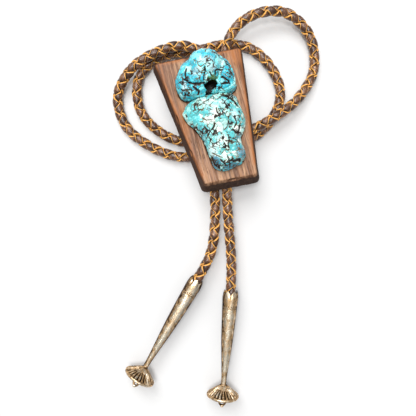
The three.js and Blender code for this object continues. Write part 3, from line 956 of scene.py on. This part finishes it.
def vein_net(points, face, seed):
    """The net of veins round the cobbles: its darkness, the cobbles' relief and their tints."""
    patchiness = smoothstep(-0.6, 0.3, fractal(points, 6.0, 2, seed + 2))
    patchiness = patchiness * (1 - patch_amount(points, face["calm"]))
    busy = patch_amount(points, face["busy"])
    vein, relief, tint = np.zeros((3, len(points)))
    for size, tint_share in COBBLE_TINTS.items():
        border, cell_tint = cobbles(points, size, seed + size)
        patchy = patchiness * smoothstep(-0.3, 0.1, fractal(points, 5.0, 2, seed + size))
        patchy = np.maximum(patchy, busy)
        ragged = 1 + 1.2 * fractal(points, 2.0, 3, seed + 3 * size)
        width = VEIN_WIDTH * size * (FAINT_VEIN_WIDTH + (1 - FAINT_VEIN_WIDTH) * patchy) * ragged
        line = 1 - smoothstep(0.35, 1.2, border / np.maximum(width, THINNEST_VEIN_MM))
        vein = np.maximum(vein, line * (FAINT_VEIN_DARKNESS + (1 - FAINT_VEIN_DARKNESS) * patchy))
        relief += COBBLE_RISE * size * (smoothstep(0.0, 0.2 * size, border) - 0.7)
        tint += tint_share * cell_tint
    return vein, relief, tint


def seam_marks(points, seams, ragged):
    """How dark and how deep the cracks are at each point."""
    vein, depth = np.zeros((2, len(points)))
    for seam in seams.values():
        away = line_distance(points, seam.line) / (seam.half_width * np.maximum(ragged, 0.3))
        vein = np.maximum(vein, seam.dark * (1 - smoothstep(0.35, 1.05, away)))
        depth = np.maximum(depth, seam.depth * (1 - smoothstep(0.0, 1.5, away)))
    return vein, depth


def hollow_marks(points, hollow, ragged):
    """Where a nugget's hollow is, painted near black as shade, and the green moss at its upper right.
    """
    away = np.linalg.norm((points[:, :2] - hollow["at"]) / hollow["half"], axis=1)
    low = 1 - smoothstep(hollow["floor"], hollow["floor"] + 2.0, points[:, 2])
    hollow_shade = (1 - smoothstep(0.85, 1.15, away * (1 + 0.12 * ragged))) * low
    fringe = np.linalg.norm((points[:, :2] - hollow["moss_at"]) / hollow["moss_half"], axis=1)
    moss = (1 - smoothstep(0.5, 1.1, fringe * ragged)) * 0.85 * (1 - 0.6 * hollow_shade)
    return hollow_shade, moss


def make_stone(name, node, face, material, seed):
    mesh = remeshed_copy(name, node, STONE_VOXEL_MM, STONE_SMOOTHING)
    points = vertex_array(mesh) / MM
    above_wood = points[:, 2] - SLAB_FRONT_MM
    swell = STONE_SWELL_MM * fractal(points, 7.0, 2, seed)
    ragged = 1 + 0.6 * fractal(points, 1.3, 3, seed + 5)
    net, relief, tint = vein_net(points, face, seed)
    cracks, depth = seam_marks(points, face["seams"], ragged)
    hollow_shade, moss = np.zeros((2, len(points)))
    if "hollow" in face:
        hollow_shade, moss = hollow_marks(points, face["hollow"], ragged)
    move_along_normals(mesh, smoothstep(-0.2, 1.2, above_wood) * (swell + relief - depth))
    # Painted shade: towards the wood the nugget darkens like a vein. The vein darkness also carries the
    # hollow's painted shade.
    seat_shade = 0.8 * (1 - smoothstep(0.1, 1.1, above_wood))
    write_attribute(mesh, "vein", np.max([net, cracks, hollow_shade, seat_shade], axis=0))
    write_attribute(mesh, "tint", tint)
    write_attribute(mesh, "chalk", patch_amount(points, face["pale"]))
    write_attribute(mesh, "deep_blue_and_shade", patch_amount(points, face["deep_blue_and_shade"]))
    write_attribute(mesh, "hollow", hollow_shade)
    write_attribute(mesh, "moss", moss)
    mesh.materials.append(material)
    piece = add_object(name, mesh, slide_place())
    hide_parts(node)
    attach(piece, "root")
    return piece


def make_stones():
    blue = turquoise_material("turquoise_blue", [
        (0.26, srgb(52, 194, 216)), (0.4, srgb(102, 232, 242)), (0.54, srgb(158, 249, 252)),
        (0.7, srgb(206, 254, 251))], 0.95)
    pale = turquoise_material("turquoise_pale", [
        (0.26, srgb(96, 204, 208)), (0.38, srgb(162, 238, 230)), (0.5, srgb(208, 250, 240)),
        (0.66, srgb(244, 254, 248))], 1.0)
    upper_face = {
        "seams": UPPER_SEAMS, "calm": UPPER_CALM, "busy": UPPER_BUSY, "deep_blue_and_shade": UPPER_DEEP,
        "pale": UPPER_PALE, "hollow": UPPER_HOLLOW}
    lower_face = {
        "seams": LOWER_SEAMS, "calm": LOWER_CALM, "busy": LOWER_BUSY, "deep_blue_and_shade": LOWER_DEEP_AND_FOOT_SHADE,
        "pale": LOWER_PALE}
    upper = make_stone("turquoise_nugget_upper", "stone_upper", upper_face, blue, seed=3.0)
    lower = make_stone("turquoise_nugget_lower", "stone_lower", lower_face, pale, seed=8.0)


def make_slab():
    mesh = remeshed_copy("walnut_slab", "wood_slab", SLAB_VOXEL_MM, SLAB_SMOOTHING)
    points = vertex_array(mesh) / MM
    outline = SLAB_CORNERS_MM + SLAB_CORNERS_MM[:1]
    from_edge = line_distance(points, outline)
    grain = 0.12 * fractal(points * (1.0, 0.12, 1.0), 1.6, 3)
    uneven = grain + 0.2 * fractal(points, 16.0, 2, seed=2)
    chipped = np.zeros(len(points))
    front = smoothstep(SLAB_FRONT_MM - 2.2, SLAB_FRONT_MM - 0.6, points[:, 2])
    for chip in SLAB_CHIPS:
        away = np.linalg.norm((points[:, :2] - chip.at) / chip.half, axis=1)
        chipped = np.maximum(chipped, chip.amount * (1 - smoothstep(0.3, 1.0, away)) * front)
    pocket = smoothstep(0.25, 0.7, SLAB_FRONT_MM - points[:, 2]) * smoothstep(2.2, 3.2, from_edge)
    move_along_normals(mesh, uneven * (1 - pocket) - chipped)
    # Painted shade: faces darken the more they turn from facing up, and the pocket round the stones
    # darkens; the chips darken too.
    side = 0.92 * (1 - smoothstep(0.5, 0.93, normal_array(mesh)[:, 2]))
    dark = np.maximum(0.9 * pocket, 0.6 * smoothstep(0.15, 0.5, chipped))
    above_foot = smoothstep(-31.0, -27.0, points[:, 1])
    rim = 0.85 * above_foot * (1 - smoothstep(0.8, 3.0, from_edge))
    write_attribute(mesh, "edge", np.maximum(patch_amount(points, SLAB_WARM_PATCHES), rim))
    write_attribute(mesh, "shade", np.maximum(dark, side))
    mesh.materials.append(walnut_material())
    piece = add_object("walnut_slab", mesh, slide_place())
    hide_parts("wood_slab")
    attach(piece, "root")


def finish_sleeve():
    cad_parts["cord_sleeve"].material_slots[0].material = sleeve_material()


# ---- tips ----

def petal_wave(angle):
    """0 along the middle of each petal, rising evenly to 1 between two of them."""
    share = np.mod(angle * TIP_PETALS / (2 * math.pi) + 0.5, 1.0)
    return np.abs(2 * share - 1)


def sunburst(along, angle, radius):
    """How deep the stamped rays are, from 0 to 1: a fan of them below each petal."""
    around = (np.mod(angle * TIP_PETALS / (2 * math.pi) + 0.5, 1.0) - 0.5) * 2 * math.pi / TIP_PETALS
    sideways = around * radius
    upwards = SUNBURST_PLACE - along
    bearing = np.arctan2(sideways, upwards)
    reach = np.hypot(sideways, upwards)
    ray = np.abs(np.cos(bearing * (SUNBURST_RAYS + 1)))
    fan = smoothstep(0.5, 0.9, reach) * (1 - smoothstep(2.6, 3.0, reach))
    return fan * (np.abs(bearing) < math.radians(75)) * smoothstep(0.75, 0.97, ray)


def shaft_surface(length, angle):
    """The outside of the shaft from its petals to the disc, and the inside of its mouth: rings of
    radius, place along the axis and groove depth."""
    outline = centripetal([(ring.radius, ring.share * length) for ring in SHAFT_OUTLINE], 16)
    rows = np.unique(np.r_[np.linspace(0, 14, 60), np.linspace(14, length, 50)])
    outer = np.interp(rows, outline[:, 1], outline[:, 0])
    wave = petal_wave(angle)
    notch = NOTCH_DEPTH * wave[None, :] ** 1.15
    squeeze = 1 - smoothstep(0, 9, rows)[:, None]
    along = rows[:, None] + notch * squeeze
    radius = np.interp(along, rows, outer)
    crease = 1 - smoothstep(0, CREASE_END, along)
    radius = radius - 0.34 * crease * smoothstep(0.55, 1.0, wave)[None, :]
    rays = sunburst(along, angle[None, :], radius)
    radius = radius - 0.1 * rays
    inner_rows = np.linspace(0, 5.0, 8)
    inner_along = inner_rows[:, None] + notch * (1 - smoothstep(0, 5.0, inner_rows))[:, None]
    inner_radius = np.interp(inner_along, rows, outer) - TIP_WALL
    along = np.concatenate([inner_along[::-1], along])
    dark = np.maximum(0.65 * rays, 0.5 * crease * smoothstep(0.8, 1.0, wave))
    groove = np.concatenate([np.ones_like(inner_along), dark])
    return np.concatenate([inner_radius[::-1], radius]), along, groove


def disc_surface(start, angle):
    rows = centripetal(DISC_OUTLINE, 5)
    ridge = 0.5 + 0.5 * np.cos(DISC_FLUTES * angle)
    groove = np.clip(rows[:, 2:], 0, 1) * (1 - smoothstep(0.1, 0.7, ridge))[None, :]
    along = rows[:, 1:2] + FLUTE_DEPTH * groove
    radius = np.broadcast_to(rows[:, :1], along.shape)
    return radius, along + start, smoothstep(0.35, 0.9, groove)


def torus_surface(major, minor, middle, columns=20, rows=28):
    turn = full_turn(rows)
    section = full_turn(columns)
    reach = major + minor * np.cos(section)[None, :]
    points = np.stack([
        reach * np.cos(turn)[:, None],
        np.broadcast_to(minor * np.sin(section)[None, :], (rows, columns)),
        middle + reach * np.sin(turn)[:, None],
    ], axis=-1)
    faces = []
    for row in range(rows):
        for column in range(columns):
            next_row, next_column = (row + 1) % rows, (column + 1) % columns
            faces.append((row * columns + column, next_row * columns + column,
                          next_row * columns + next_column, row * columns + next_column))
    return points.reshape(-1, 3), faces


def turned_grid(radius, along, angle):
    points = np.stack([radius * np.cos(angle), radius * np.sin(angle), along], axis=-1)
    return points.reshape(-1, 3)


def tip_parts(length):
    """The shaft, disc, ring and bead of a tip, each by its points, faces and groove depths."""
    parts = []
    for segments, surface in ((TIP_SEGMENTS, shaft_surface), (DISC_SEGMENTS, disc_surface)):
        angle = full_turn(segments)
        radius, along, groove = surface(length, angle)
        points = turned_grid(radius, along, angle)
        parts.append((points, capped_tube(len(radius), segments), groove.ravel()))
    ring_middle = length + LOOP_START + LOOP_RADIUS
    ring, ring_faces = torus_surface(LOOP_RADIUS, LOOP_WIRE_RADIUS, ring_middle)
    parts.append((ring, ring_faces, np.full(len(ring), LOOP_GROOVE)))
    height = np.linspace(0.02, math.pi - 0.02, BEAD_ROWS)[:, None]
    angle = full_turn(BEAD_SEGMENTS)
    bead_middle = ring_middle + LOOP_RADIUS + LOOP_WIRE_RADIUS / 2
    along = bead_middle - BEAD_RADIUS * np.cos(height) + 0 * angle
    bead = turned_grid(BEAD_RADIUS * np.sin(height) + 0 * angle, along, angle)
    parts.append((bead, capped_tube(BEAD_ROWS, BEAD_SEGMENTS), np.zeros(len(bead))))
    return parts


def make_tip(row, silver):
    mouth = np.array(row["mouth"])
    axis = np.array(row["rim"]) - mouth
    length = np.linalg.norm(axis) - DISC_RIM_ALONG
    points, faces, grooves = [], [], []
    for part_points, part_faces, part_groove in tip_parts(length):
        first = sum(len(each) for each in points)
        points.append(part_points)
        faces.extend(tuple(first + corner for corner in face) for face in part_faces)
        grooves.append(part_groove)
    mesh = make_mesh("silver_" + row["name"], np.concatenate(points) * MM, faces)
    grooves = np.concatenate(grooves)
    aim = Vector(axis).to_track_quat("Z", "Y").to_matrix().to_4x4()
    place = Matrix.Translation(Vector(mouth) * MM) @ aim @ Matrix.Rotation(row["turn"], 4, "Z")
    upward = normal_array(mesh) @ np.array(place.to_3x3().inverted() @ Vector((0, 0, 1)))
    everywhere = vertex_array(mesh) / MM
    # Tarnish and painted shade: faces turned away from up go brown, while those facing up stay bright
    # as painted light.
    tarnish_and_side_shade = 1 - smoothstep(0.25, 0.98, upward + 0.25 * fractal(everywhere, 2.2, 3))
    on_disc = smoothstep(length - 0.5, length + 0.5, everywhere[:, 2])
    tarnish_and_side_shade = tarnish_and_side_shade * (1 - DISC_LESS_TARNISH_AND_SHADE * on_disc)
    write_attribute(mesh, "tarnish_and_side_shade", np.maximum(tarnish_and_side_shade, 0.6 * grooves))
    write_attribute(mesh, "groove", grooves)
    mesh.materials.append(silver)
    piece = add_object("silver_" + row["name"], mesh, place)
    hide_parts(row["name"])
    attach(piece, "root")
    return piece


# ---- the whole ----

make_camera()
cord_piece, cord_frame = make_cord()
silver = silver_material()
tip_pieces = [make_tip(row, silver) for row in TIPS]
make_stones()
make_slab()
finish_sleeve()
make_floor()
make_lights()
